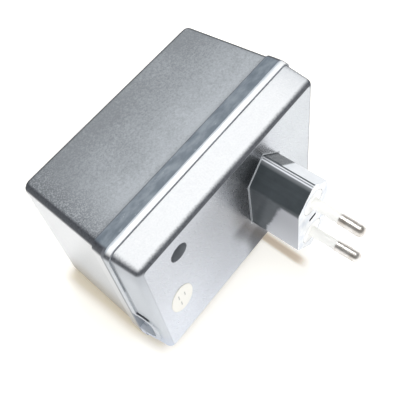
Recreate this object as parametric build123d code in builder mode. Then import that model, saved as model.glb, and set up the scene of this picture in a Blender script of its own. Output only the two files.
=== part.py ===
"""Plug-in power supply: a two-part moulded housing with a Euro plug, a transformer and a rectifier board.

Frame: the origin is midway between the two contact pins, on the end face of the plug neck.
The pins point along -Y, the long side of the housing runs along X, and +Z is up as the supply lies.
"""
import math
import os

from build123d import *

os.makedirs("parts", exist_ok=True)

# Housing, outside, in millimetres and degrees
wall_length = 86.5
wall_height = 64.4
cover_depth = 38.8
base_depth = 12.5
draft = 4.0
corner_radius = 3.1
edge_radius = 2.2
rim_proud = 0.65
cover_rim_depth = 5.0
base_rim_depth = 2.1

# Housing, inside
side_wall = 2.4
back_wall = 2.6
face_wall = 2.6
lip_outside = 1.1
lip_inside = 0.2
lip_height = 1.8
rib_thickness = 2.0
post_inset = 2.0

# Plug neck, pins and what holds them
neck_length = 19.3
neck_width = 16.3
neck_flat_height = 23.3
neck_corner_radius = 1.6
neck_wall = 2.0
neck_end_wall = 2.4
neck_offset_x = 14.7
neck_offset_z = 1.6
flange_width = 2.2
flange_thickness = 2.2
carrier_thickness = 6.0
collar_diameter = 9.6
gate_mark_length = 4.0
gate_mark_width = 1.6
gate_mark_depth = 0.8
pin_distance = 19.0
pin_tip_distance = 17.9
pin_length = 19.0
pin_diameter = 4.0
pin_core_diameter = 3.0
sleeve_diameter = 3.6
sleeve_length = 10.0
sleeve_seat = 3.0
tab_length = 5.0
tab_width = 2.6
tab_thickness = 0.9

# Screws, placed from the middle of the housing
screw_places = [(-27.1, 21.2), (35.4, -18.6)]
well_diameter = 7.0
well_wall = 1.5
well_floor = 2.0
boss_diameter = 8.0
screw_diameter = 2.9
screw_length = 14.0
screw_hole_diameter = 3.4
head_diameter = 5.6
head_height = 2.3
recess_length = 3.2
recess_width = 0.8
recess_depth = 1.2

# Oval paper seal on the plug side, placed from the middle of the housing
seal_width = 10.0
seal_height = 14.6
seal_thickness = 0.15
seal_place = (-31.2, -5.1)

# Transformer, with a core whose sheets keep the usual proportions
core_clearance = 2.8
core_stack = 20.0
core_hole_diameter = 3.6
former_wall = 0.9
former_flange = 1.2
winding_build = 7.0
tape_thickness = 0.3
terminal_block_length = 3.7
terminal_block_height = 24.0
terminal_block_depth = 6.0
terminal_distance = 16.0
terminal_diameter = 1.0
terminal_reach = 3.5
fuse_diameter = 3.6
fuse_length = 9.0
fuse_lead_length = 3.0

# Output opening in the base's end wall, placed from the middle of the housing, and the frame around it
outlet_side = -1
outlet_z = -18.0
outlet_height = 13.8
outlet_depth = 8.0
outlet_radius = 4.0
outlet_frame = 2.1

# Rectifier board and what stands on it, on the side of the output opening
board_thickness = 1.6
board_height = 42.0
board_z = -5.8
board_gap = 4.0
board_front_gap = 0.4
groove_depth = 1.8
lead_diameter = 0.8
diode_diameter = 2.7
diode_length = 5.2
diode_lead_distance = 10.0
diode_row_distance = 5.6
diode_column_distance = 14.0
capacitor_clearance = 0.34
capacitor_length = 20.0
capacitor_lead_distance = 5.0
socket_height = 13.4
socket_depth = 11.0
socket_bore_diameter = 6.4
socket_bore_depth = 9.0
socket_pin_diameter = 2.1
spring_width = 2.0
spring_thickness = 0.4
socket_pin_recess = 0.8
socket_lip = 1.2
diode_inset = 25.6
diode_z = -9.4
capacitor_inset = 22.6
capacitor_z = 2.5
capacitor_lead_reach = 2.5
capacitor_bevel = 0.6
lead_tail = 1.0

# Wires
wire_diameter = 1.6

# Clearances, measured per side
slide_fit = 0.15
seat_gap = 0.1
hole_fit = 0.1
screw_fit = 0.05
snug_fit = 0.03

# Places worked out from the sizes above
box_x = -neck_offset_x
box_z = -neck_offset_z
plug_face = neck_length
parting = plug_face + base_depth
back = parting + cover_depth
slope = math.tan(math.radians(draft))
lean = math.atan((pin_distance - pin_tip_distance) / 2 / pin_length)
inner_length = wall_length - 2 * side_wall
inner_height = wall_height - 2 * side_wall
inner_radius = corner_radius - 1
rim_length = wall_length + 2 * rim_proud
rim_height = wall_height + 2 * rim_proud
core_height = inner_height - 2 * core_clearance
core_length = core_height * 5 / 6
limb_height = core_height / 3
yoke_length = core_height / 6
coil_depth = core_stack / 2 + slide_fit + former_wall + winding_build + tape_thickness
core_y = back - back_wall - 1.0 - coil_depth
core_front = core_y - core_stack / 2
core_back = core_y + core_stack / 2
window_length = core_length - 2 * yoke_length
window_height = (core_height - limb_height) / 2 - yoke_length
board_distance = core_length / 2 + board_gap
board_x = box_x + outlet_side * board_distance
board_face = board_x + outlet_side * board_thickness
board_front = plug_face + face_wall + board_front_gap
board_depth = back - back_wall - seat_gap - board_front
socket_y = board_front + socket_depth / 2
socket_centre_z = box_z + outlet_z
socket_wall = inner_length / 2 - (parting - board_front) * slope
socket_length = socket_wall - slide_fit - board_distance - board_thickness
socket_mouth = board_face + outlet_side * socket_length
tail_x = board_x - outlet_side * lead_tail
capacitor_start = board_front + capacitor_inset
capacitor_end = capacitor_start + capacitor_length
capacitor_wall = inner_length / 2 - (capacitor_end - parting) * slope
capacitor_diameter = capacitor_wall - board_distance - board_thickness - seat_gap - capacitor_clearance
spring_y = socket_y - socket_bore_diameter / 2 - spring_thickness
socket_pin_reach = board_thickness + lead_tail + socket_length - socket_pin_recess


def facing_plug(y, x=box_x, z=box_z):
    """A plane across the depth at y, seen from the plug side: its X and Y are the part's X and Z."""
    return Plane(origin=(x, y, z), x_dir=(1, 0, 0), z_dir=(0, -1, 0))


def facing_end(x, y=0.0, z=0.0):
    """A plane across the length at x, facing +X: its X and Y are the part's Y and Z."""
    return Plane(origin=(x, y, z), x_dir=(0, 1, 0), z_dir=(1, 0, 0))


def pin_plane(side, along=0.0):
    """A plane across one contact pin's leaning axis, at a distance from the neck's end towards its tip."""
    axis = (0, -math.cos(lean), -side * math.sin(lean))
    return Plane(origin=(0, 0, side * pin_distance / 2), x_dir=(1, 0, 0), z_dir=axis).offset(along)


def drafted_block(toward, depth, length, height, radius):
    """A block that narrows by the draft from the parting plane, toward the back (1) or the plug (-1)."""
    start = Plane(origin=(box_x, parting, box_z), x_dir=(toward, 0, 0), z_dir=(0, 0, 1))
    inset = depth * slope
    with BuildPart(start, mode=Mode.PRIVATE) as block:
        middle = (Align.CENTER, Align.MIN, Align.CENTER)
        Wedge(length, depth, height, inset, inset, length - inset, height - inset, align=middle)
        fillet(block.edges().filter_by(runs_deep), radius)
    return block.part


def runs_deep(edge):
    """True for an edge that runs along the housing's depth, whatever its draft."""
    return abs((edge % 0.5).Y) > 0.9


def neck_outline(grown=0.0):
    """The plug neck's outline: flat sides and shoulders that slope at 45 degrees up to a rounded ridge."""
    half_width = neck_width / 2
    half_flat = neck_flat_height / 2
    corners = [(half_width, half_flat), (0, half_flat + half_width), (-half_width, half_flat)]
    with BuildSketch(mode=Mode.PRIVATE) as outline:
        Polygon(*corners, *[(-x, -z) for x, z in corners], align=None)
        fillet(outline.vertices(), neck_corner_radius)
        if grown:
            offset(amount=grown)
    return outline.sketch


def save(piece, name):
    """Label a finished piece and write it as one STEP file."""
    piece.label = name
    export_step(piece, f"parts/{name}.step")


# Cover: the deep half, with its proud rim, a lip that enters the base, screw bosses and ribs for the core
with BuildPart() as cover_hollow:
    add(drafted_block(1, cover_depth - back_wall, inner_length, inner_height, inner_radius))
    with BuildSketch(facing_plug(back)):
        with Locations(*screw_places):
            Circle(boss_diameter / 2)
    extrude(amount=cover_depth, mode=Mode.SUBTRACT)
    # Ribs that the core rests on
    with BuildSketch(facing_plug(back)):
        with GridLocations(0, core_height - yoke_length + 1, 1, 2):
            Rectangle(core_length, rib_thickness)
    extrude(amount=back - core_back - seat_gap, mode=Mode.SUBTRACT)
    # Guide ribs at both ends of the core and on both sides of the board
    core_side = core_length / 2 + slide_fit
    board_inside = board_distance - slide_fit
    board_outside = board_distance + board_thickness + slide_fit
    with BuildSketch(facing_plug(back)):
        for side in (1, -1):
            rib_height = inner_height / 2 - board_height / 2 + groove_depth - side * board_z
            rib_z = side * (inner_height / 2 - rib_height / 2)
            with Locations((outlet_side * (board_outside + rib_thickness / 2), rib_z)):
                Rectangle(rib_thickness, rib_height)
            with Locations((outlet_side * (core_side + board_inside) / 2, rib_z)):
                Rectangle(board_inside - core_side, rib_height)
            guide_height = core_clearance + groove_depth
            guide_z = side * (inner_height / 2 - guide_height / 2)
            with Locations((-outlet_side * (core_side + rib_thickness / 2), guide_z)):
                Rectangle(rib_thickness, guide_height)
    extrude(amount=back - core_front, mode=Mode.SUBTRACT)

with BuildPart() as cover:
    add(drafted_block(1, cover_depth, wall_length, wall_height, corner_radius))
    fillet(cover.faces().sort_by(Axis.Y)[-1].edges(), edge_radius)
    add(drafted_block(1, cover_rim_depth, rim_length, rim_height, corner_radius + rim_proud))
    add(cover_hollow.part, mode=Mode.SUBTRACT)
    with BuildSketch(facing_plug(parting)):
        RectangleRounded(inner_length + 2 * lip_outside, inner_height + 2 * lip_outside, corner_radius)
        inside = (inner_length + 2 * lip_inside, inner_height + 2 * lip_inside)
        RectangleRounded(*inside, inner_radius, mode=Mode.SUBTRACT)
        with Locations((outlet_side * inner_length / 2, outlet_z)):
            Rectangle(4 * lip_outside, outlet_height, mode=Mode.SUBTRACT)
    extrude(amount=lip_height)
    # Pilot holes for the screws
    with BuildSketch(facing_plug(parting)):
        with Locations(*screw_places):
            Circle(screw_diameter / 2 + screw_fit)
    extrude(amount=-(screw_length - well_floor + 1), mode=Mode.SUBTRACT)
save(cover.part, "cover")

# Base: the shallow half, with screw wells, posts that press on the core and the opening for the neck
with BuildPart() as base_hollow:
    add(drafted_block(-1, base_depth - face_wall, inner_length, inner_height, inner_radius))
    with BuildSketch(facing_plug(parting)):
        with Locations(*screw_places):
            Circle(well_diameter / 2 + well_wall)
    extrude(amount=base_depth, mode=Mode.SUBTRACT)
    with BuildSketch(facing_plug(parting)):
        seat = lip_outside + slide_fit
        RectangleRounded(inner_length + 2 * seat, inner_height + 2 * seat, corner_radius)
        inside = (inner_length - 2 * lip_inside, inner_height - 2 * lip_inside)
        RectangleRounded(*inside, inner_radius, mode=Mode.SUBTRACT)
    extrude(amount=lip_height + seat_gap)

with BuildPart() as outlet_rim:
    add(drafted_block(-1, outlet_depth + outlet_frame, rim_length, rim_height, corner_radius + rim_proud))
    with BuildSketch(facing_end(box_x, parting, socket_centre_z)):
        frame_size = (2 * (outlet_depth + outlet_frame), outlet_height + 2 * outlet_frame)
        RectangleRounded(*frame_size, outlet_radius + outlet_frame)
    extrude(amount=outlet_side * wall_length, mode=Mode.INTERSECT)

with BuildPart() as base:
    add(drafted_block(-1, base_depth, wall_length, wall_height, corner_radius))
    fillet(base.faces().sort_by(Axis.Y)[0].edges(), edge_radius)
    add(drafted_block(-1, base_rim_depth, rim_length, rim_height, corner_radius + rim_proud))
    add(outlet_rim.part)
    add(base_hollow.part, mode=Mode.SUBTRACT)
    # Output opening, up to the parting plane
    with BuildSketch(facing_end(socket_mouth, parting, socket_centre_z)):
        RectangleRounded(2 * outlet_depth, outlet_height, outlet_radius)
    extrude(amount=outlet_side * wall_length, mode=Mode.SUBTRACT)
    # Ribs that hold the core back against the cover's ribs
    with BuildSketch(facing_plug(core_front - seat_gap)):
        with GridLocations(core_length - yoke_length, core_height - 2 * post_inset, 2, 2):
            Rectangle(yoke_length, rib_thickness)
            Rectangle(rib_thickness, 2 * post_inset + rib_thickness / 2)
    extrude(amount=core_front - seat_gap - plug_face - face_wall / 2)
    # Screw wells, open to the plug side
    with BuildSketch(facing_plug(parting - well_floor)):
        with Locations(*screw_places):
            Circle(well_diameter / 2)
    extrude(amount=base_depth, mode=Mode.SUBTRACT)
    with BuildSketch(facing_plug(parting)):
        with Locations(*screw_places):
            Circle(screw_hole_diameter / 2)
    extrude(amount=well_floor, mode=Mode.SUBTRACT)
    with BuildSketch(facing_plug(parting, 0, 0)):
        add(neck_outline(slide_fit))
    extrude(amount=base_depth, mode=Mode.SUBTRACT)
save(base.part, "base")

# Plug neck: a hollow shell with a flange that seats inside the base and windows for the white collars
with BuildPart() as plug_body:
    with BuildSketch(facing_plug(plug_face + face_wall, 0, 0)):
        add(neck_outline())
    extrude(amount=plug_face + face_wall)
    with BuildSketch(facing_plug(plug_face + face_wall + flange_thickness, 0, 0)):
        add(neck_outline(flange_width))
    extrude(amount=flange_thickness)
    with BuildSketch(facing_plug(plug_face + face_wall + flange_thickness, 0, 0)):
        add(neck_outline(-neck_wall))
    extrude(amount=plug_face + face_wall + flange_thickness - neck_end_wall, mode=Mode.SUBTRACT)
    with BuildSketch(Plane.XZ):
        with GridLocations(0, pin_distance, 1, 2):
            Circle(collar_diameter / 2 + slide_fit)
    extrude(amount=-neck_end_wall, mode=Mode.SUBTRACT)
    with BuildSketch(Plane.XZ):
        SlotOverall(gate_mark_length, gate_mark_width)
    extrude(amount=-gate_mark_depth, mode=Mode.SUBTRACT)
save(plug_body.part, "plug_body")

# White insulating carrier inside the neck, with a collar and a stepped bore for each pin
with BuildPart() as pin_carrier:
    with BuildSketch(facing_plug(neck_end_wall + carrier_thickness, 0, 0)):
        add(neck_outline(-neck_wall - slide_fit))
    extrude(amount=carrier_thickness)
    with BuildSketch(facing_plug(neck_end_wall, 0, 0)):
        with GridLocations(0, pin_distance, 1, 2):
            Circle(collar_diameter / 2)
    extrude(amount=neck_end_wall)
    for side in (1, -1):
        with BuildSketch(pin_plane(side, 1)):
            Circle(sleeve_diameter / 2 + snug_fit)
        extrude(amount=-sleeve_seat - 1, mode=Mode.SUBTRACT)
        with BuildSketch(pin_plane(side, 1)):
            Circle(pin_core_diameter / 2 + snug_fit)
        extrude(amount=-neck_end_wall - carrier_thickness - 2, mode=Mode.SUBTRACT)
save(pin_carrier.part, "pin_carrier")

# Contact pins: a full round tip, a thinner core under the sleeve, and a flat solder tab at the back
core_reach = neck_end_wall + carrier_thickness + 1
for name, side in (("upper", 1), ("lower", -1)):
    with BuildPart() as contact_pin:
        with BuildSketch(pin_plane(side, sleeve_length)):
            Circle(pin_diameter / 2)
        extrude(amount=pin_length - sleeve_length)
        tip = contact_pin.faces().sort_by(Axis.Y)[0].edges()
        fillet(tip, pin_diameter / 2 - 0.3)
        with BuildSketch(pin_plane(side, sleeve_length)):
            Circle(pin_core_diameter / 2)
        extrude(amount=-sleeve_length - core_reach)
        with BuildSketch(pin_plane(side, -core_reach)):
            Rectangle(tab_width, tab_thickness)
        extrude(amount=-tab_length)
    save(contact_pin.part, f"contact_pin_{name}")

    with BuildPart() as pin_sleeve:
        with BuildSketch(pin_plane(side, sleeve_length)):
            Circle(sleeve_diameter / 2)
            Circle(pin_core_diameter / 2 + snug_fit, mode=Mode.SUBTRACT)
        extrude(amount=-sleeve_length - sleeve_seat)
    save(pin_sleeve.part, f"pin_sleeve_{name}")

# Two self-tapping screws with a cross recess, one in each well
with BuildPart() as housing_screws:
    head_seat = parting - well_floor
    with BuildSketch(facing_plug(head_seat)):
        with Locations(*screw_places):
            Circle(head_diameter / 2)
    extrude(amount=head_height)
    chamfer(housing_screws.faces().sort_by(Axis.Y)[0:2].edges(), head_height / 3)
    with BuildSketch(facing_plug(head_seat + screw_length)):
        with Locations(*screw_places):
            Circle(screw_diameter / 2)
    extrude(amount=screw_length)
    chamfer(housing_screws.faces().sort_by(Axis.Y)[-2:].edges(), screw_diameter / 4)
    with BuildSketch(facing_plug(head_seat - head_height)):
        with Locations(*screw_places):
            Rectangle(recess_length, recess_width)
            Rectangle(recess_width, recess_length)
    extrude(amount=-recess_depth, mode=Mode.SUBTRACT)
save(housing_screws.part, "housing_screws")

# Oval paper seal on the plug side
with BuildPart() as seal:
    with BuildSketch(facing_plug(plug_face)):
        with Locations(seal_place):
            Ellipse(seal_width / 2, seal_height / 2)
    extrude(amount=seal_thickness)
save(seal.part, "inspection_seal")

# Transformer core: the E and I packets, butted together, with the usual corner holes
core_hole_spacing_z = core_height - yoke_length
with BuildPart() as core_e:
    with BuildSketch(facing_plug(core_back)):
        Rectangle(core_length, core_height)
        with Locations((core_length / 2, 0)):
            Rectangle(2 * yoke_length, core_height, mode=Mode.SUBTRACT)
        with GridLocations(0, limb_height + window_height, 1, 2):
            Rectangle(window_length, window_height, mode=Mode.SUBTRACT)
        with Locations((-core_length / 2 + yoke_length / 2, 0)):
            with GridLocations(0, core_hole_spacing_z, 1, 2):
                Circle(core_hole_diameter / 2, mode=Mode.SUBTRACT)
    extrude(amount=core_stack)
save(core_e.part, "core_e_stack")

with BuildPart() as core_i:
    with BuildSketch(facing_plug(core_back)):
        with Locations((core_length / 2 - yoke_length / 2, 0)):
            Rectangle(yoke_length, core_height)
            with GridLocations(0, core_hole_spacing_z, 1, 2):
                Circle(core_hole_diameter / 2, mode=Mode.SUBTRACT)
    extrude(amount=core_stack)
save(core_i.part, "core_i_stack")

# Bobbin: a tube on the middle limb, three flanges that make two chambers, and two terminal blocks
tube_height = limb_height + 2 * slide_fit
tube_depth = core_stack + 2 * slide_fit
wound_height = tube_height + 2 * (former_wall + winding_build)
wound_depth = tube_depth + 2 * (former_wall + winding_build)
bobbin_length = window_length - 2 * slide_fit
flange_height = core_height - 2 * yoke_length - 2 * slide_fit
flange_depth = wound_depth + 2 * tape_thickness
block_y = core_front - slide_fit - terminal_block_depth / 2
with BuildPart() as bobbin:
    with BuildSketch(facing_end(box_x - bobbin_length / 2, core_y, box_z)):
        Rectangle(tube_depth + 2 * former_wall, tube_height + 2 * former_wall)
    extrude(amount=bobbin_length)
    for place in (-bobbin_length / 2, -former_flange / 2, bobbin_length / 2 - former_flange):
        with BuildSketch(facing_end(box_x + place, core_y, box_z)):
            Rectangle(flange_depth, flange_height)
        extrude(amount=former_flange)
    for side in (1, -1):
        with BuildSketch(facing_end(box_x + side * (bobbin_length / 2 - former_flange), block_y, box_z)):
            Rectangle(terminal_block_depth, terminal_block_height)
        extrude(amount=side * (terminal_block_length + former_flange))
        block_end = bobbin_length / 2 + terminal_block_length
        with BuildSketch(facing_end(box_x + side * block_end, block_y, box_z)):
            with GridLocations(0, terminal_distance, 1, 2):
                Circle(terminal_diameter / 2)
        extrude(amount=-side * terminal_reach, mode=Mode.SUBTRACT)
    with BuildSketch(facing_end(box_x - bobbin_length / 2, core_y, box_z)):
        Rectangle(tube_depth, tube_height)
    extrude(amount=bobbin_length, mode=Mode.SUBTRACT)
save(bobbin.part, "bobbin")

# Windings and the tape around them, one chamber each
chamber_length = bobbin_length / 2 - 1.5 * former_flange
chamber_starts = (former_flange / 2, -bobbin_length / 2 + former_flange)
for name, start in zip(("primary", "secondary"), chamber_starts):
    with BuildPart() as winding:
        with BuildSketch(facing_end(box_x + start, core_y, box_z)):
            RectangleRounded(wound_depth, wound_height, winding_build / 2)
            Rectangle(tube_depth + 2 * former_wall, tube_height + 2 * former_wall, mode=Mode.SUBTRACT)
        extrude(amount=chamber_length)
    save(winding.part, f"{name}_winding")

    with BuildPart() as tape:
        with BuildSketch(facing_end(box_x + start, core_y, box_z)):
            tape_radius = winding_build / 2 + tape_thickness
            RectangleRounded(wound_depth + 2 * tape_thickness, wound_height + 2 * tape_thickness, tape_radius)
            RectangleRounded(wound_depth, wound_height, winding_build / 2, mode=Mode.SUBTRACT)
        extrude(amount=chamber_length)
    save(tape.part, f"{name}_tape")

for name, side in (("primary", -outlet_side), ("secondary", outlet_side)):
    with BuildPart() as terminals:
        with BuildSketch(facing_end(box_x + side * (block_end - terminal_reach), block_y, box_z)):
            with GridLocations(0, terminal_distance, 1, 2):
                Circle(terminal_diameter / 2)
        extrude(amount=side * 2 * terminal_reach)
    save(terminals.part, f"{name}_terminals")

# Thermal fuse, lying on the primary winding's tape
fuse_x = box_x - outlet_side * (former_flange + chamber_length) / 2
fuse_y = core_y - wound_depth / 2 - tape_thickness - fuse_diameter / 2
with BuildPart() as thermal_fuse:
    with BuildSketch(Plane.XY.offset(box_z - fuse_length / 2)):
        with Locations((fuse_x, fuse_y)):
            Circle(fuse_diameter / 2)
    extrude(amount=fuse_length)
    chamfer(thermal_fuse.faces().filter_by(Axis.Z).edges(), fuse_diameter / 8)
    with BuildSketch(Plane.XY.offset(box_z - fuse_length / 2 - fuse_lead_length)):
        with Locations((fuse_x, fuse_y)):
            RegularPolygon(lead_diameter / 2, 8)
    extrude(amount=fuse_length + 2 * fuse_lead_length)
save(thermal_fuse.part, "thermal_fuse")

# Rectifier board components: places shared by the leads and the board's holes
diode_x = board_face + outlet_side * (diode_diameter / 2 + seat_gap)
diode_centre = (board_front + diode_inset, box_z + diode_z)
capacitor_x = board_face + outlet_side * (capacitor_diameter / 2 + seat_gap)
capacitor_lead_y = capacitor_start - capacitor_lead_reach
capacitor_centre_z = box_z + capacitor_z

# Rectifier board, with a hole for every lead and for the socket's legs
with BuildPart() as circuit_board:
    with BuildSketch(facing_end(board_x, 0, 0)):
        with Locations((board_front + board_depth / 2, box_z + board_z)):
            Rectangle(board_depth, board_height)
        with Locations(diode_centre):
            with GridLocations(diode_column_distance, diode_row_distance, 2, 2):
                with GridLocations(diode_lead_distance, 0, 2, 1):
                    RegularPolygon(lead_diameter / 2 + hole_fit, 8, mode=Mode.SUBTRACT)
        with Locations((capacitor_lead_y, capacitor_centre_z)):
            with GridLocations(0, capacitor_lead_distance, 1, 2):
                RegularPolygon(lead_diameter / 2 + hole_fit, 8, mode=Mode.SUBTRACT)
        with Locations((socket_y, socket_centre_z)):
            Circle(socket_pin_diameter / 2 + hole_fit, mode=Mode.SUBTRACT)
        with Locations((spring_y, socket_centre_z)):
            Rectangle(spring_thickness + 2 * hole_fit, spring_width + 2 * hole_fit, mode=Mode.SUBTRACT)
    extrude(amount=outlet_side * board_thickness)
save(circuit_board.part, "circuit_board")

# Four rectifier diodes, lying on the board with their leads bent through it
lead_length = diode_x - tail_x + outlet_side * lead_diameter / 2
with BuildPart() as rectifier_diodes:
    for column in (-diode_column_distance / 2, diode_column_distance / 2):
        for row in (-diode_row_distance / 2, diode_row_distance / 2):
            centre_y = diode_centre[0] + column
            centre_z = diode_centre[1] + row
            with BuildSketch(facing_end(tail_x, centre_y, centre_z)):
                with GridLocations(diode_lead_distance, 0, 2, 1):
                    RegularPolygon(lead_diameter / 2, 8)
            extrude(amount=lead_length)
            with BuildSketch(facing_plug(centre_y, diode_x, centre_z)):
                RegularPolygon(lead_diameter / 2, 8)
            extrude(amount=diode_lead_distance / 2, both=True)
            with BuildSketch(facing_plug(centre_y, diode_x, centre_z)):
                Circle(diode_diameter / 2)
            extrude(amount=diode_length / 2, both=True)
save(rectifier_diodes.part, "rectifier_diodes")

# Smoothing capacitor, a can that lies on the board with both leads bent through it
with BuildPart() as smoothing_capacitor:
    with BuildSketch(facing_plug(capacitor_end, capacitor_x, capacitor_centre_z)):
        Circle(capacitor_diameter / 2)
    extrude(amount=capacitor_length)
    chamfer(smoothing_capacitor.faces().filter_by(Axis.Y).edges(), capacitor_bevel)
    with BuildSketch(facing_plug(capacitor_start, capacitor_x, capacitor_centre_z)):
        with GridLocations(0, capacitor_lead_distance, 1, 2):
            RegularPolygon(lead_diameter / 2, 8)
    extrude(amount=capacitor_lead_reach)
    with BuildSketch(facing_end(tail_x, capacitor_lead_y, capacitor_centre_z)):
        with GridLocations(0, capacitor_lead_distance, 1, 2):
            RegularPolygon(lead_diameter / 2, 8)
    extrude(amount=capacitor_x - tail_x + outlet_side * lead_diameter / 2)
save(smoothing_capacitor.part, "smoothing_capacitor")

# Output socket body: a bore for the plug, a hole for the centre pin and a slot for the spring contact
with BuildPart() as socket_body:
    with BuildSketch(facing_end(board_face, socket_y, socket_centre_z)):
        Rectangle(socket_depth, socket_height)
    extrude(amount=outlet_side * socket_length)
    with BuildSketch(facing_end(socket_mouth, socket_y, socket_centre_z)):
        Circle(socket_bore_diameter / 2)
    extrude(amount=-outlet_side * socket_bore_depth, mode=Mode.SUBTRACT)
    with BuildSketch(facing_end(board_face, socket_y, socket_centre_z)):
        Circle(socket_pin_diameter / 2 + snug_fit)
    extrude(amount=outlet_side * socket_length, mode=Mode.SUBTRACT)
    with BuildSketch(facing_end(board_face, socket_y, socket_centre_z)):
        slot_reach = socket_bore_diameter / 2 + 3 * spring_thickness
        with Locations((-slot_reach / 2, 0)):
            Rectangle(slot_reach, spring_width + 2 * slide_fit)
            with Locations((slot_reach / 2, 0)):
                Circle(socket_pin_diameter / 2 + 4 * hole_fit, mode=Mode.SUBTRACT)
    extrude(amount=outlet_side * (socket_length - socket_lip), mode=Mode.SUBTRACT)
save(socket_body.part, "output_socket_body")

with BuildPart() as socket_pin:
    with BuildSketch(facing_end(tail_x, socket_y, socket_centre_z)):
        Circle(socket_pin_diameter / 2)
    extrude(amount=outlet_side * socket_pin_reach)
    chamfer(socket_pin.faces().sort_by(Axis.X)[0].edges(), socket_pin_diameter / 5)
save(socket_pin.part, "output_socket_pin")

with BuildPart() as socket_spring:
    with BuildSketch(Plane.XY.offset(socket_centre_z)):
        with BuildLine():
            Polyline(
                (tail_x, spring_y),
                (board_face + outlet_side * socket_length * 0.4, spring_y),
                (board_face + outlet_side * socket_length * 0.65, spring_y + 2 * spring_thickness),
                (socket_mouth - outlet_side * (socket_lip + 2 * spring_thickness), spring_y),
            )
        trace(line_width=spring_thickness)
    extrude(amount=spring_width / 2, both=True)
save(socket_spring.part, "output_socket_spring")


# Mains wires, from each pin's solder tab over the flange and the coil's front to a primary terminal
terminal_end = block_end + terminal_reach + seat_gap
over_flange = plug_face + face_wall + flange_thickness + wire_diameter
bend_radius = 1.5 * wire_diameter
for name, side in (("upper", 1), ("lower", -1)):
    tab = pin_plane(side, -core_reach - tab_length - seat_gap).origin
    terminal_x = box_x - outlet_side * terminal_end
    terminal = Vector(terminal_x, block_y, box_z + side * terminal_distance / 2)
    turn_x = terminal_x - outlet_side * (bend_radius + wire_diameter / 2)
    with BuildPart() as mains_wire:
        with BuildLine() as route:
            FilletPolyline(
                (tab.X, tab.Y, tab.Z),
                (tab.X, over_flange, tab.Z),
                (turn_x, over_flange, terminal.Z),
                (turn_x, terminal.Y, terminal.Z),
                (terminal.X, terminal.Y, terminal.Z),
                radius=bend_radius,
            )
        with BuildSketch(Plane(origin=route.line @ 0, z_dir=route.line % 0)):
            RegularPolygon(wire_diameter / 2, 8)
        sweep(path=route.line)
    save(mains_wire.part, f"mains_wire_{name}")

# Low-voltage wires, from each secondary terminal to the back of the board
for name, side in (("upper", 1), ("lower", -1)):
    with BuildPart() as low_voltage_wire:
        start_x = box_x + outlet_side * terminal_end
        with BuildSketch(facing_end(start_x, block_y, box_z + side * terminal_distance / 2)):
            RegularPolygon(wire_diameter / 2, 8)
        extrude(amount=outlet_side * (board_distance - seat_gap - terminal_end))
    save(low_voltage_wire.part, f"low_voltage_wire_{name}")
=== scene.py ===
"""The plug-in power supply as it lies on a pale table, with its moulded, metal and paper finishes."""

import math

import bpy
from mathutils import Matrix, Vector

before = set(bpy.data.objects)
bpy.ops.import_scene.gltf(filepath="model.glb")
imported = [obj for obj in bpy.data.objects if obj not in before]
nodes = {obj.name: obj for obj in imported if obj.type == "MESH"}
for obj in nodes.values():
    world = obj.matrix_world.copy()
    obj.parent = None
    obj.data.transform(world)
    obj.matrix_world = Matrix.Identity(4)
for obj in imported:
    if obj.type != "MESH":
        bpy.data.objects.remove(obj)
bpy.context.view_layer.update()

MM = 0.001

# Places and sizes in millimetres, in the part's own frame
PARTING_Y = 31.8
PLUG_FACE_Y = 19.3
COVER_RIM = 5.0
BASE_RIM = 2.1
BOX_X = -14.7
BOX_Z = -1.6
NEAR_X = -58.0
FAR_X = 28.6
NECK_HALF_WIDTH = 8.15
NECK_SHOULDER = 19.8
SEAL_X = -45.9
SEAL_Z = -6.7
SEAL_HALF_WIDTH = 5.0
SEAL_HALF_HEIGHT = 7.3
SCREWS = [(-41.8, 19.6), (20.7, -20.2)]
OUTLET_Z = -19.6
OUTLET_HALF_HEIGHT = 7.1
SHEETS_PER_MM = 2.0
TURNS_PER_MM = 5.0
DIODE_Y = 47.9
DIODE_PITCH = 14.0

# The housing lies on its proud rim and the cover's back edge, so the table slopes in the part's frame
TABLE_SLOPE = 0.0875
TABLE_Y = 40
TABLE_SIZE = 6000
SHADE_Y = 45
SHADE_RADIUS = 60
WHITE_RADIUS = 170

# Ticks on the seal: x and z from its middle, and half the length
SEAL_TICKS = [(-1.3, 2.2, 1.3), (1.4, 1.2, 1.1), (-0.9, -2.6, 1.2)]

# The photograph's frame, in pixels, and the place that it was taken from, in millimetres
FRAME_PIXELS = 400
FOCAL_PIXELS = 675.2
CENTRE_PIXEL = (205.0, 199.6)
SENSOR_WIDTH = 36
CAMERA_PLACE = (-94.18, -57.43, 196.25)
CAMERA_TARGET = (-14.93, 33.79, -0.83)
CAMERA_ROLL = -12.0


# Camera
def look_from(place, target, roll):
    """Adds the camera, with the lens and the small shift of the photograph's frame."""
    camera = bpy.data.cameras.new("camera")
    camera.sensor_width = SENSOR_WIDTH
    camera.lens = FOCAL_PIXELS / FRAME_PIXELS * SENSOR_WIDTH
    camera.shift_x = (FRAME_PIXELS / 2 - CENTRE_PIXEL[0]) / FRAME_PIXELS
    camera.shift_y = (CENTRE_PIXEL[1] - FRAME_PIXELS / 2) / FRAME_PIXELS
    camera.clip_start = 0.01
    holder = bpy.data.objects.new("camera", camera)
    bpy.context.scene.collection.objects.link(holder)
    back = (Vector(place) - Vector(target)).normalized()
    right = Vector((0, 0, 1)).cross(back).normalized()
    up = back.cross(right)
    turn = Matrix((right, up, back)).transposed() @ Matrix.Rotation(math.radians(roll), 3, "Z")
    holder.matrix_world = Matrix.Translation(Vector(place) * MM) @ turn.to_4x4()
    bpy.context.scene.camera = holder


look_from(CAMERA_PLACE, CAMERA_TARGET, CAMERA_ROLL)
bpy.context.scene.view_settings.view_transform = "Standard"


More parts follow.
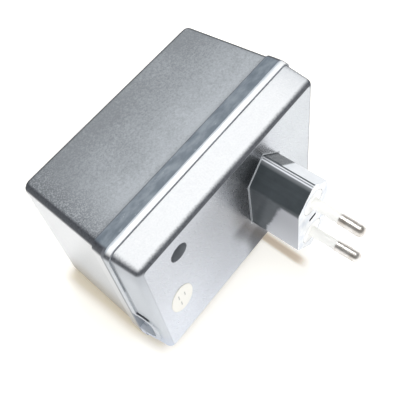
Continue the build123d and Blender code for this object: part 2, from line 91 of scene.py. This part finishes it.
# Shader maths
class Value:
    """A shader socket that adds Math nodes when it is used in an expression."""

    def __init__(self, shader, socket):
        self.shader = shader
        self.socket = socket

    def math(self, operation, *others):
        return self.shader.node("ShaderNodeMath", {"operation": operation}, [self, *others])

    def __add__(self, other):
        return self.math("ADD", other)

    __radd__ = __add__

    def __sub__(self, other):
        return self.math("SUBTRACT", other)

    def __rsub__(self, other):
        return self.shader.node("ShaderNodeMath", {"operation": "SUBTRACT"}, [other, self])

    def __mul__(self, other):
        return self.math("MULTIPLY", other)

    __rmul__ = __mul__

    def __truediv__(self, other):
        return self.math("DIVIDE", other)

    def __abs__(self):
        return self.math("ABSOLUTE")

    def square(self):
        return self * self

    def larger(self, other):
        return self.math("MAXIMUM", other)

    def rise(self, low, high):
        """0 below low, 1 above high, smooth between; with low above high it falls instead."""
        settings = {"interpolation_type": "SMOOTHSTEP"}
        if low < high:
            return self.shader.node("ShaderNodeMapRange", settings, [self, low, high, 0.0, 1.0])
        return self.shader.node("ShaderNodeMapRange", settings, [self, high, low, 1.0, 0.0])

    def band(self, middle, half_width, soft):
        """1 within half_width of middle, falling to 0 over soft."""
        return abs(self - middle).rise(half_width + soft, half_width)


class Shader:
    """A node tree that is being filled."""

    def __init__(self, tree):
        self.tree = tree

    def node(self, kind, settings=None, inputs=(), output=0):
        """Adds one node: its settings first, then values or links for its inputs."""
        node = self.tree.nodes.new(kind)
        for name, value in (settings or {}).items():
            setattr(node, name, value)
        items = inputs.items() if isinstance(inputs, dict) else enumerate(inputs)
        for name, value in items:
            if isinstance(value, Value):
                self.tree.links.new(value.socket, node.inputs[name])
            else:
                node.inputs[name].default_value = value
        return Value(self, node.outputs[output])

    def split(self, vector):
        node = self.tree.nodes.new("ShaderNodeSeparateXYZ")
        self.tree.links.new(vector.socket, node.inputs[0])
        return [Value(self, socket) for socket in node.outputs]

    def coordinates(self, kind):
        return self.node("ShaderNodeTexCoord", output=kind)

    def ray(self, kind):
        """1 for rays of one kind, such as Is Camera Ray, and 0 for the rest."""
        return self.node("ShaderNodeLightPath", output=kind)

    def mix(self, mask, below, above):
        """One colour over another, by a mask."""
        settings = {"data_type": "RGBA"}
        return self.node("ShaderNodeMix", settings, {0: mask, 6: below, 7: above}, output=2)


class Finish(Shader):
    """A material being made, with the piece's own coordinates in millimetres."""

    def __init__(self, name):
        self.material = bpy.data.materials.new(name)
        self.material.use_nodes = True
        super().__init__(self.material.node_tree)
        self.tree.nodes.clear()
        scaling = {0: self.coordinates("Object"), "Scale": 1 / MM}
        self.place = self.node("ShaderNodeVectorMath", {"operation": "SCALE"}, scaling)
        self.x, self.y, self.z = self.split(self.place)
        self.nx, self.ny, self.nz = self.split(self.coordinates("Normal"))

    def noise(self, scale, detail=2.0, roughness=0.5, stretch=(1, 1, 1), shift=(0, 0, 0)):
        """Noise from about 0 to 1, with scale in features a millimetre."""
        place = self.place
        if stretch != (1, 1, 1) or shift != (0, 0, 0):
            mapping = {"Vector": place, "Scale": stretch, "Location": shift}
            place = self.node("ShaderNodeMapping", {}, mapping)
        inputs = {"Vector": place, "Scale": scale, "Detail": detail, "Roughness": roughness}
        return self.node("ShaderNodeTexNoise", {}, inputs)

    def bump(self, height, strength, distance):
        """A Normal from a height of 0 to 1, whose full rise is distance in millimetres."""
        inputs = {"Height": height, "Strength": strength, "Distance": distance * MM}
        return self.node("ShaderNodeBump", {}, inputs)

    def close(self, surface):
        """Links the surface to the material's output."""
        output = self.tree.nodes.new("ShaderNodeOutputMaterial")
        self.tree.links.new(surface.socket, output.inputs["Surface"])
        return self.material

    def done(self, colour, roughness, metallic=0.0, normal=None, **constants):
        """Closes the material with a Principled shader; constants go straight onto its sockets."""
        inputs = {"Base Color": colour, "Roughness": roughness, "Metallic": metallic, **constants}
        if normal is not None:
            inputs["Normal"] = normal
        return self.close(self.node("ShaderNodeBsdfPrincipled", {}, inputs))


def tint(red, green, blue):
    """An sRGB colour of 0 to 255 as a linear RGBA, by the plain power curve."""
    return tuple((part / 255) ** 2.2 for part in (red, green, blue)) + (1.0,)


WHITE = (1, 1, 1, 1)
# Painted shade for the housing's rounded edges, and for its edges that face away
EDGE_SHADE_GREY = tint(104, 108, 114)
AWAY_SHADE_GREY = tint(84, 88, 94)
NECK_SHADE = tint(44, 46, 50)


# Housing
def cover_top_tone(f, depth, speck, cloud):
    """Mid grey, with a painted sheen paler towards the rim, darker at the near end with painted glints
    there, and painted shade on its edges.
    """
    from_near = f.x - NEAR_X
    to_near = from_near.rise(20, 0)
    grit = f.noise(1.0, 2.0, 0.7, shift=(2, 7, 1)) - 0.5
    # Painted sheen: paler towards the rim
    rim_sheen = depth.rise(38, 6) * 0.60 + depth.rise(13, 5.5) * 0.26
    shade = rim_sheen + speck * 0.6 + grit + (cloud - 0.5) * 0.9 + 0.08
    tone = f.mix(shade, tint(134, 139, 144), tint(182, 188, 194))
    tone = f.mix(to_near * (0.55 + grit * 1.2), tone, tint(80, 84, 90))

    # Painted glints on the spark texture, most at the near end
    glint = f.noise(2.2, 1.0, 0.5, shift=(9, 4, 2)).rise(0.46, 0.64)
    patch = f.noise(0.07, 2.0, 0.5, shift=(1, 3, 5))
    sparkle = glint * (to_near * 0.7 + 0.12 + (patch - 0.4) * 0.8)
    tone = f.mix(sparkle * 0.45, tone, tint(210, 215, 220))

    # Painted shade on the near edge and the far edges
    near_edge_shade = (from_near + speck * 1.6).rise(4.5, 0.6)
    tone = f.mix(near_edge_shade * 0.85, tone, tint(64, 67, 72))
    far_edges_shade = (FAR_X - f.x).rise(2.0, 0.2).larger(depth.rise(37.0, 38.4))
    return f.mix(far_edges_shade * 0.5, tone, AWAY_SHADE_GREY)


def cover_rim_tone(f, smudge):
    """The smooth proud rim: blue grey, with smudges, scuffs and a few flecks by its near end."""
    tone = f.mix(smudge.rise(0.3, 0.75), tint(108, 119, 130), tint(144, 154, 163))
    scuff = f.noise(0.5, 4.0, 0.75, stretch=(0.35, 1, 1), shift=(2, 9, 4)).rise(0.60, 0.72)
    tone = f.mix(scuff * 0.45, tone, tint(196, 204, 211))
    flecks = f.noise(1.3, 3.0, 0.7, shift=(5, 2, 7)).rise(0.66, 0.74)
    return f.mix(flecks * (f.x - NEAR_X).band(20, 7, 5) * 0.7, tone, tint(222, 228, 232))


def base_top_tone(f, depth, speck):
    """Nearly white in a painted highlight that fades towards the far end, with a grey speckle that grows
    there, and painted shade in grey along its edges.
    """
    from_near, from_far = f.x - NEAR_X, FAR_X - f.x
    # The nearly white tone is a painted highlight, greyer and more speckled towards the far end
    speckled = abs(f.x - BOX_X - 3).rise(30, 48) * f.x.rise(-70, 10)
    shade = (speck + 0.5) * (speckled * 0.6 + 0.22)
    tone = f.mix(shade, tint(245, 247, 249), tint(186, 191, 198))
    tone = f.mix(from_far.rise(16.6, -0.4) * 0.30, tone, tint(176, 182, 190))
    # Painted shade along the edges
    plug_edge_shade = (depth + speck * 0.7).rise(-10.5, -12.2)
    near_edge_shade = (from_near + speck * 1.2).rise(3.1, 0.6)
    far_edge_shade = (from_far - speck * 1.2).rise(3.0, 0.8)
    tone = f.mix(plug_edge_shade.larger(near_edge_shade) * 0.9, tone, EDGE_SHADE_GREY)
    return f.mix(far_edge_shade * 0.75, tone, EDGE_SHADE_GREY)


def near_end_tone(f, depth, is_base, speck):
    """Painted reflection: pale where it mirrors the table, with a painted warm shade at the cover's foot
    and painted shade on the base's top and turn.
    """
    is_cover = 1 - is_base
    height = f.z - BOX_Z
    tone = f.mix(height.rise(-12, 26), tint(208, 209, 208), tint(226, 227, 226))
    tone = f.mix(is_base, tone, tint(205, 210, 215))
    tone = f.mix(is_base * height.rise(19, 31) * 0.45, tone, tint(152, 156, 162))
    # Painted warm shade at the cover's foot
    tone = f.mix(is_cover * height.rise(-2, -32), tone, tint(168, 160, 142))
    # Painted reflection of the lit table, near white
    lit = (height + depth * 1.75).rise(34, 52)
    tone = f.mix(is_cover * lit, tone, tint(250, 251, 251))
    tone = f.mix(is_base * height.rise(-16, -30), tone, tint(204, 212, 226))
    # Painted shade where the base turns towards the plug side
    turn = is_base * depth.rise(-7.5, -12.0) * height.rise(-4, 28)
    tone = f.mix(turn * 0.35, tone, tint(164, 168, 174))
    return f.mix((speck + 0.3) * 0.10, tone, tint(150, 152, 154))


def plug_side_tone(f, apart, speck, cloud):
    """Satin, with a painted reflection paler below and to the right, and painted dark reflections round
    the neck, which it mirrors.
    """
    low = (f.z - BOX_Z).rise(24, -30)
    tone = f.mix(low, tint(202, 205, 210), tint(235, 239, 246))
    right_tone = f.mix(cloud, tint(198, 202, 205), tint(218, 222, 225))
    tone = f.mix(f.x.rise(0, 14), tone, right_tone)
    tone = f.mix((speck + 0.3) * 0.12, tone, tint(150, 153, 158))

    # Painted reflections of the neck round it and below it, and of its shadow on the table in a slanting
    # band
    left = f.x.rise(4, -4)
    tone = f.mix(apart.rise(42, 10) * left * 0.34, tone, tint(60, 62, 66))
    tone = f.mix(apart.rise(13, 3) * left * f.z.rise(-27, 3) * 0.62, tone, NECK_SHADE)
    below = abs(f.x + 1.0).rise(13, 7) * f.z.rise(-15, -21)
    tone = f.mix(below * 0.66, tone, NECK_SHADE)
    mirrored_shadow_band = abs(f.x + f.z * 0.43 + 17.0).rise(6.5, 1.0) * f.z.rise(-3, -9)
    return f.mix(mirrored_shadow_band * 0.62, tone, NECK_SHADE)


def side_tone(f, is_base, away, shoulder, speck, cloud):
    """The other sides in mid grey, and painted shade in dark grey on their edges to the top."""
    side = f.mix(speck * 0.9 + cloud, tint(124, 129, 135), tint(162, 167, 173))
    # Painted shade on the rounded edges
    cover_edge_shade = f.mix(speck + 0.5, tint(50, 52, 57), tint(84, 87, 93))
    base_edge_shade = f.mix(speck + 0.5, tint(52, 54, 59), tint(92, 95, 101))
    edge = f.mix(is_base, cover_edge_shade, base_edge_shade)
    edge = f.mix(away * 0.5, edge, AWAY_SHADE_GREY)
    return f.mix(shoulder, side, edge)


def seam_lines(f, colour, depth, top, near):
    """The parting line, and lines of painted shade under the proud rims' steps."""
    parting = depth.band(0.5, 0.30, 0.5) * (1 - top)
    colour = f.mix(parting * 0.9, colour, tint(104, 107, 114))
    # Painted shadow under the base's proud rim
    base_rim_step_shadow = depth.band(-BASE_RIM - 0.10, 0.05, 0.10)
    colour = f.mix(base_rim_step_shadow * top, colour, tint(64, 66, 76))
    shade = depth.band(-BASE_RIM - 0.4, 0.2, 0.35)
    colour = f.mix(shade * near * 0.6, colour, tint(150, 153, 158))
    # Painted shade under the cover's proud rim
    cover_rim_step_shade = depth.band(COVER_RIM - 0.10, 0.10, 0.18)
    return f.mix(cover_rim_step_shade * top * 0.85, colour, tint(98, 103, 112))


def hollow_tones(f, colour, depth, is_base):
    """The insides of the screw wells and of the output opening, with painted light: well walls lighter
    where they face up, the opening painted pale.
    """
    inside = f.ny.rise(-0.90, -0.80) * f.y.rise(60, 55)
    # Painted shade: well walls darker where they face down
    well_wall_shading = f.mix(f.nz.rise(-0.6, 0.8), tint(96, 100, 106), tint(142, 146, 152))
    for x, z in SCREWS:
        from_screw = (f.x - x).square() + (f.z - z).square()
        colour = f.mix(from_screw.rise(17, 14) * inside, colour, well_wall_shading)
    from_middle = abs(f.z - OUTLET_Z)
    outlet = from_middle.rise(OUTLET_HALF_HEIGHT + 0.3, OUTLET_HALF_HEIGHT) * (f.x - NEAR_X).rise(4.0, 3.4)
    outlet = outlet * is_base * (1 - f.nx.rise(-0.80, -0.95)) * depth.rise(-8.6, -8.2)
    # Painted light: the output opening pale, lighter where it faces up
    outlet_painted_light = f.mix(f.nz.rise(-0.2, 0.7), tint(204, 214, 226), tint(236, 242, 250))
    return f.mix(outlet, colour, outlet_painted_light)


def neck_distance(f):
    """Distance outside the neck's outline, in millimetres, from its flats and shoulders."""
    across, along = abs(f.x), abs(f.z)
    shoulder = (across + along - NECK_SHOULDER) * math.sqrt(0.5)
    return (across - NECK_HALF_WIDTH).larger(shoulder)


def housing_plastic():
    """Black moulded plastic with a fine spark texture, smooth on the proud rims, that shines grey, with
    painted light, reflection and shade on each side.
    """
    f = Finish("moulded_housing")
    depth = f.y - PARTING_Y
    is_base = depth.rise(0.02, -0.02)

    # The sides that each painted tone of light, reflection and shade is for, by the way they face
    flat = f.nz.rise(0.86, 0.985) * (1 - is_base) + f.nz.rise(0.60, 0.94) * is_base
    top = flat * f.z.rise(20, 24)
    outlet_frame = (f.x - NEAR_X).rise(1.1, 0.8) * f.nz.rise(0.9, 0.8) * f.z.rise(8, 6)
    near = (f.nx.rise(-0.05, -0.3) * f.nz.rise(0.50, 0.10)).larger(outlet_frame)
    plug = f.ny.rise(-0.975, -0.999) * f.y.rise(PLUG_FACE_Y + 0.3, PLUG_FACE_Y + 0.1)
    away = f.nx.rise(0.05, 0.2).larger(f.ny.rise(0.05, 0.2))
    shoulder = f.nz.rise(0.05, 0.22)
    cover_rim = depth.band(COVER_RIM / 2, COVER_RIM / 2 - 0.1, 0.1)
    base_rim = depth.band(-BASE_RIM / 2, BASE_RIM / 2 - 0.1, 0.1)
    rim = cover_rim.larger(base_rim)

    grain = f.noise(1.7, 2.0, 0.6)
    coarse = f.noise(0.55, 2.0, 0.6)
    cloud = f.noise(0.045, 3.0, 0.55)
    smudge = f.noise(0.16, 3.0, 0.6, stretch=(1, 2.2, 1), shift=(3, 1, 0))
    streak = f.noise(0.35, 3.0, 0.65, stretch=(0.3, 1.5, 1), shift=(4, 4, 4)).rise(0.46, 0.62)
    speck = (grain - 0.5) * 1.6 + (coarse - 0.5) * 0.5

    # The top: cover, rim, base, and the base's rim in a white painted highlight, with a pale painted
    # highlight line at the parting and streaks
    top_tone = f.mix(cover_rim, cover_top_tone(f, depth, speck, cloud), cover_rim_tone(f, smudge))
    top_tone = f.mix(is_base, top_tone, base_top_tone(f, depth, speck))
    # Painted highlights on the base's rim and along the parting
    top_tone = f.mix(base_rim, top_tone, tint(251, 253, 254))
    top_tone = f.mix(depth.band(-0.2, 0.12, 0.2), top_tone, tint(196, 203, 210))
    streaked = streak * base_rim * depth.rise(-1.4, -0.1)
    top_tone = f.mix(streaked * 0.7, top_tone, tint(186, 197, 208))

    apart = neck_distance(f)
    # Painted highlight round the neck's foot
    foot_highlight = apart.band(0.42, 0.14, 0.16) * plug
    colour = side_tone(f, is_base, away, shoulder, speck, cloud)
    colour = f.mix(near, colour, near_end_tone(f, depth, is_base, speck))
    colour = f.mix(plug, colour, plug_side_tone(f, apart, speck, cloud))
    colour = f.mix(top, colour, top_tone)
    colour = seam_lines(f, colour, depth, top, near)
    colour = f.mix(foot_highlight, colour, tint(196, 201, 206))
    colour = hollow_tones(f, colour, depth, is_base)

    height = grain * (1 - rim) + smudge * 0.1
    normal = f.bump(height, 0.25 - plug * 0.17, 0.35)
    dull = away * shoulder * (1 - top) * 0.5
    roughness = 0.44 - rim * 0.14 - plug * 0.16 + (grain - 0.5) * 0.10 + dull
    metallic = plug * (1 - foot_highlight) * 0.92
    return f.done(colour, roughness, metallic, normal, IOR=1.5)


# Neck
def neck_plastic():
    """Smooth glossy black plastic of the plug neck, with painted reflections of the pale table in its
    flats and painted highlights on its ridge and foot.
    """
    f = Finish("glossy_neck")
    cloud = f.noise(0.2, 3.0, 0.6)
    fine = f.noise(2.2, 2.0, 0.6)
    streak = f.noise(1.1, 2.0, 0.6, stretch=(1, 0.04, 1))
    from_foot = PLUG_FACE_Y - f.y
    colour = f.mix(cloud * 0.6 + streak * 0.4, tint(58, 63, 66), tint(82, 88, 92))

    # Painted reflection: the near flat mirrors the housing by its foot and the table further out
    edge = from_foot - f.z * 0.3 - 8.9 + (cloud - 0.5) * 3.0
    pale = edge.rise(-0.5, 0.9) * f.nx.rise(-0.85, -0.97) * f.z.rise(11.4, 9.6)
    mirrored_table_tone = f.mix(f.z.rise(6, -12), tint(172, 174, 180), tint(200, 203, 208))
    colour = f.mix(pale, colour, mirrored_table_tone)
    # Painted reflection of the table, near white, on the far slope
    far = from_foot.rise(6.4, 7.4) * f.nx.rise(0.35, 0.6) * f.nz.rise(0.1, 0.4)
    colour = f.mix(far, colour, tint(236, 241, 246))

    # Painted highlights: two bright lines along the rounded ridge, and one round the foot
    ridge = f.z.rise(17.6, 18.0)
    lines = f.x.band(-0.80, 0.08, 0.30).larger(f.x.band(-0.05, 0.08, 0.28) * 0.8)
    sheen = f.x.band(-0.7, 0.3, 1.3) * 0.22
    colour = f.mix(ridge * lines.larger(sheen), colour, tint(236, 240, 246))
    foot_highlight = from_foot.rise(0.30, 0.12) * f.nx.rise(0.2, 0.0)
    colour = f.mix(foot_highlight, colour, tint(200, 204, 208))

    # The end, in a pale painted reflection, with the plain dark slot between the pins
    end = f.ny.rise(-0.90, -0.98) * f.y.rise(0.6, 0.3)
    end_reflection_tone = f.mix(cloud.rise(0.35, 0.6), tint(226, 232, 240), tint(250, 252, 254))
    colour = f.mix(end, colour, end_reflection_tone)
    slot = abs(f.z).rise(1.8, 1.3) * abs(f.x).rise(0.8, 0.5) * f.y.rise(0.1, 0.3)
    colour = f.mix(slot, colour, tint(40, 42, 46))
    return f.done(colour, 0.12 + cloud * 0.06, normal=f.bump(fine, 0.03, 0.1), IOR=1.45)


# Other plastics, metals and paper
def pale_plastic(name, light, dark):
    """Pale moulded insulation with faint clouding and flow marks."""
    f = Finish(name)
    cloud = f.noise(0.24, 3.0, 0.6)
    fine = f.noise(3.0, 2.0, 0.6)
    colour = f.mix(cloud * 0.8 + fine * 0.2, dark, light)
    return f.done(colour, 0.35 + (fine - 0.5) * 0.1, normal=f.bump(fine, 0.12, 0.1))


def plated_metal(name, light, dark, roughness, lines=(1, 1, 1), shine=1.0):
    """Plated metal with fine drawn lines and a little tarnish."""
    f = Finish(name)
    drawn = f.noise(3.0, 3.0, 0.6, stretch=lines)
    tarnish = f.noise(0.35, 3.0, 0.6)
    colour = f.mix(tarnish.rise(0.3, 0.75), light, dark)
    return f.done(colour, roughness + (drawn - 0.5) * 0.1, shine, f.bump(drawn, 0.02, 0.02))


def laminated_iron():
    """A packet of stamped sheets, with a line between each pair and a thin coat of varnish."""
    f = Finish("laminated_iron")
    sheet = (f.y * SHEETS_PER_MM).math("FRACT")
    gap = abs(sheet - 0.5).rise(0.38, 0.5)
    rust = f.noise(0.25, 4.0, 0.65)
    colour = f.mix(rust.rise(0.4, 0.8), tint(92, 94, 98), tint(112, 96, 82))
    colour = f.mix(gap * 0.7, colour, tint(42, 42, 44))
    return f.done(colour, 0.45 + rust * 0.1, 0.7, f.bump(1 - gap, 0.5, 0.06))


def wound_copper():
    """Enamelled copper wire in close turns."""
    f = Finish("wound_copper")
    turn = (f.x * TURNS_PER_MM).math("FRACT")
    # Painted shade in the grooves between turns
    turn_groove_shade = abs(turn - 0.5).rise(0.3, 0.5)
    cloud = f.noise(0.4, 2.0, 0.5)
    colour = f.mix(cloud, tint(150, 78, 42), tint(184, 104, 60))
    colour = f.mix(turn_groove_shade, colour, tint(84, 40, 22))
    return f.done(colour, 0.3 + cloud * 0.1, 0.6, f.bump(1 - turn_groove_shade, 0.6, 0.08))


def winding_tape():
    """Yellow polyester tape with overlaps."""
    f = Finish("winding_tape")
    cloud = f.noise(0.3, 3.0, 0.6)
    lap = (f.x * 0.25 + cloud * 0.2).math("FRACT").rise(0.94, 1.0)
    colour = f.mix(cloud, tint(206, 172, 72), tint(226, 196, 100))
    colour = f.mix(lap * 0.6, colour, tint(160, 126, 46))
    return f.done(colour, 0.28 + cloud * 0.12, normal=f.bump(lap, 0.3, 0.1))


def board_laminate():
    """Brown phenolic board with a faint weave, and green tracks on its solder side."""
    f = Finish("board_laminate")
    fibre = f.noise(1.4, 4.0, 0.65, stretch=(1, 0.3, 1))
    colour = f.mix(fibre, tint(128, 92, 52), tint(162, 122, 74))
    solder_side = f.nx.rise(-0.5, -0.9)
    track = f.noise(0.12, 0.0, 0.5, stretch=(0, 1, 0.6)).rise(0.49, 0.51)
    colour = f.mix(solder_side * track, colour, tint(58, 104, 66))
    return f.done(colour, 0.4 + fibre * 0.15, normal=f.bump(fibre, 0.2, 0.1))


def diode_body():
    """Black moulded bodies with tinned leads and a pale ring at the cathode end."""
    f = Finish("diode_body")
    grain = f.noise(2.5, 2.0, 0.6)
    pitches = ((f.y - DIODE_Y + DIODE_PITCH) / DIODE_PITCH).math("FRACT")
    along = pitches * DIODE_PITCH - DIODE_PITCH / 2
    body = abs(along).rise(2.75, 2.65)
    colour = f.mix(grain, tint(30, 30, 33), tint(52, 52, 56))
    colour = f.mix(along.band(1.7, 0.4, 0.05), colour, tint(206, 206, 202))
    colour = f.mix(body, tint(196, 196, 192), colour)
    return f.done(colour, 0.35 + grain * 0.1, 0.9 - body * 0.9, f.bump(grain, 0.1, 0.1))


def capacitor_sleeve():
    """A shrink sleeve with a pale stripe down one side and a bare can end."""
    f = Finish("capacitor_sleeve")
    cloud = f.noise(0.4, 2.0, 0.5)
    stripe = f.nz.rise(0.86, 0.90)
    colour = f.mix(cloud, tint(24, 34, 62), tint(36, 48, 82))
    colour = f.mix(stripe, colour, tint(196, 198, 196))
    can_end = f.ny.rise(0.86, 0.95)
    colour = f.mix(can_end, colour, tint(190, 192, 196))
    return f.done(colour, 0.3 + cloud * 0.08, can_end * 0.9, f.bump(cloud, 0.2, 0.2))


def seal_paper():
    """Cream oval paper seal, with a faint rim and plain ticks."""
    f = Finish("seal_paper")
    fibre = f.noise(1.2, 4.0, 0.65)
    across, along = f.x - SEAL_X, f.z - SEAL_Z
    colour = f.mix(fibre, tint(247, 245, 237), tint(251, 250, 243))
    for x, z, half_length in SEAL_TICKS:
        tick = (across - x).band(0.0, 0.12, 0.22) * (along - z).band(0.0, half_length, 0.2)
        colour = f.mix(tick * 0.6, colour, tint(150, 150, 146))
    oval = (across / SEAL_HALF_WIDTH).square() + (along / SEAL_HALF_HEIGHT).square()
    rim = oval.math("POWER", 0.5).rise(0.95, 1.0)
    colour = f.mix(rim * 0.4, colour, tint(206, 203, 190))
    return f.done(colour, 0.6 + fibre * 0.1, normal=f.bump(fibre, 0.15, 0.05))


def wire_sleeve(name, light, dark):
    """Soft wire insulation with a slight sheen."""
    f = Finish(name)
    cloud = f.noise(0.5, 2.0, 0.5)
    colour = f.mix(cloud, dark, light)
    return f.done(colour, 0.38 + cloud * 0.1, normal=f.bump(f.noise(2.0), 0.1, 0.1))


housing = housing_plastic()
drawn_lines = (1, 0.12, 1)
nickel = plated_metal("nickel_pin", tint(246, 243, 238), tint(210, 202, 192), 0.30, drawn_lines, 0.78)
tinned = plated_metal("tinned_brass", tint(206, 198, 176), tint(170, 158, 128), 0.28)
blackened = plated_metal("blackened_screw", tint(84, 86, 90), tint(62, 64, 68), 0.45)
collar = pale_plastic("collar_white", tint(255, 255, 254), tint(250, 250, 246))
sleeve = pale_plastic("sleeve_white", tint(255, 255, 253), tint(251, 251, 245))
former = pale_plastic("former_nylon", tint(228, 226, 216), tint(204, 200, 186))
# The output socket's grey is painted light, raised to stand in for light inside the output opening
lightened_socket_plastic = pale_plastic("socket_grey", tint(150, 157, 166), tint(124, 130, 139))
fuse_case = pale_plastic("fuse_case", tint(214, 206, 184), tint(184, 174, 150))

finishes = {
    "cover": housing,
    "base": housing,
    "plug_body": neck_plastic(),
    "pin_carrier": collar,
    "contact_pin_upper": nickel,
    "contact_pin_lower": nickel,
    "pin_sleeve_upper": sleeve,
    "pin_sleeve_lower": sleeve,
    "housing_screws": blackened,
    "inspection_seal": seal_paper(),
    "core_e_stack": laminated_iron(),
    "core_i_stack": laminated_iron(),
    "bobbin": former,
    "primary_winding": wound_copper(),
    "secondary_winding": wound_copper(),
    "primary_tape": winding_tape(),
    "secondary_tape": winding_tape(),
    "primary_terminals": tinned,
    "secondary_terminals": tinned,
    "thermal_fuse": fuse_case,
    "circuit_board": board_laminate(),
    "rectifier_diodes": diode_body(),
    "smoothing_capacitor": capacitor_sleeve(),
    "output_socket_body": lightened_socket_plastic,
    "output_socket_pin": tinned,
    "output_socket_spring": tinned,
    "mains_wire_upper": wire_sleeve("mains_wire_brown", tint(120, 72, 44), tint(96, 54, 32)),
    "mains_wire_lower": wire_sleeve("mains_wire_blue", tint(52, 92, 158), tint(36, 70, 130)),
    "low_voltage_wire_upper": wire_sleeve("low_voltage_red", tint(178, 42, 38), tint(140, 30, 28)),
    "low_voltage_wire_lower": wire_sleeve("low_voltage_black", tint(52, 52, 54), tint(34, 34, 36)),
}
for name, finish in finishes.items():
    mesh = nodes[name].data
    mesh.materials.clear()
    mesh.materials.append(finish)


# Table and light
def lay_table():
    """A plane that touches the housing's lowest edges, with its place in its mesh."""
    housing_points = [point.co for name in ("cover", "base") for point in nodes[name].data.vertices]
    lowest = min(point.z - point.y * TABLE_SLOPE for point in housing_points)
    place = (BOX_X * MM, TABLE_Y * MM, lowest + TABLE_Y * MM * TABLE_SLOPE)
    tilt = (math.atan(TABLE_SLOPE), 0, 0)
    bpy.ops.object.select_all(action="DESELECT")
    bpy.ops.mesh.primitive_plane_add(size=TABLE_SIZE * MM, location=place, rotation=tilt)
    plane = bpy.context.object
    plane.name = "table"
    bpy.ops.object.transform_apply(location=True, rotation=True, scale=True)
    bpy.ops.object.select_all(action="DESELECT")
    plane.data.materials.append(table_white())


def table_white():
    """White to the camera, with shadows, a painted shade round the housing, and a painted warm shadow by
    the near end and under the neck.
    """
    f = Finish("table_white")
    # Painted shadows: a warm strip beside the near end, and one under the neck
    near_end_painted_shadow = (f.x - NEAR_X).rise(-4.5, 0.5) * f.x.rise(20, -10)
    near_end_painted_shadow = near_end_painted_shadow * f.y.rise(18, 26) * f.y.rise(74, 67)
    neck_painted_shadow = f.x.rise(-3.4, -1.2) * f.x.rise(2.6, 0.0)
    neck_painted_shadow = neck_painted_shadow * f.y.rise(-0.5, 6.0) * f.y.rise(24, 20)
    tone = f.mix(f.noise(0.02, 2.0, 0.5), tint(236, 236, 236), tint(242, 242, 242))
    # Painted shadow under the neck, in the table's colour
    tone = f.mix(neck_painted_shadow, tone, tint(226, 212, 196))
    diffuse = f.node("ShaderNodeBsdfDiffuse", {}, {"Color": tone})

    # What the table adds to the lamps' light, as linear colours: white far off, less by the housing as
    # painted shade, and less again in the painted shadows
    housing_shade_glow = (0.44, 0.42, 0.37, 1)
    near_end_shadow_glow = (0.17, 0.12, 0.03, 1)
    neck_shadow_glow = (0.07, 0.05, 0.02, 1)
    gloss_glow = (0.32, 0.32, 0.33, 1)
    around = (f.x - BOX_X).square() + (f.y - SHADE_Y).square()
    glow = f.mix(around.rise(SHADE_RADIUS ** 2, WHITE_RADIUS ** 2), housing_shade_glow, WHITE)
    glow = f.mix(near_end_painted_shadow, glow, near_end_shadow_glow)
    glow = f.mix(neck_painted_shadow, glow, neck_shadow_glow)
    to_camera = f.node("ShaderNodeEmission", {}, {"Color": glow})
    to_gloss = f.node("ShaderNodeEmission", {}, {"Color": gloss_glow})
    gloss = f.ray("Is Glossy Ray").larger(f.ray("Is Transmission Ray"))
    mirrored = f.node("ShaderNodeMixShader", {}, {0: gloss, 2: to_gloss})
    seen = f.node("ShaderNodeMixShader", {}, {0: f.ray("Is Camera Ray"), 1: mirrored, 2: to_camera})
    return f.close(f.node("ShaderNodeAddShader", {}, [diffuse, seen]))


def white_room(level):
    """Even white light from all round, white behind the object, and a dark ceiling in its gloss."""
    world = bpy.data.worlds.new("white_room")
    bpy.context.scene.world = world
    world.use_nodes = True
    f = Shader(world.node_tree)
    seen, gloss = f.ray("Is Camera Ray"), f.ray("Is Glossy Ray")
    upwards = f.split(f.coordinates("Generated"))[2]
    room = 1 - upwards.rise(0.12, 0.40) * 0.93
    strength = seen + (1 - seen) * (gloss * room + (1 - gloss) * level)
    background = f.tree.nodes["Background"]
    background.inputs["Color"].default_value = WHITE
    f.tree.links.new(strength.socket, background.inputs["Strength"])


def softbox(name, direction, distance, size, power, mirrored=True):
    """An area light that faces the housing from a direction, at a distance in metres."""
    lamp = bpy.data.lights.new(name, "AREA")
    lamp.shape = "RECTANGLE"
    lamp.size, lamp.size_y = size
    lamp.energy = power
    holder = bpy.data.objects.new(name, lamp)
    bpy.context.scene.collection.objects.link(holder)
    target = Vector((BOX_X, TABLE_Y, 0)) * MM
    away = Vector(direction).normalized()
    holder.location = target + away * distance
    holder.rotation_euler = away.to_track_quat("Z", "Y").to_euler()
    holder.visible_glossy = mirrored


lay_table()
white_room(0.36)
softbox("overhead_box", (0.343, 0.271, 0.90), 0.7, (0.30, 0.22), 1.2)
softbox("ceiling_box", (0.02, 0.05, 1.0), 0.8, (0.22, 0.22), 1.0)
softbox("left_box", (-0.90, -0.30, 0.35), 0.8, (0.6, 0.5), 2.4, mirrored=False)
softbox("front_box", (0.25, -0.85, 0.45), 0.8, (0.6, 0.5), 2.9, mirrored=False)
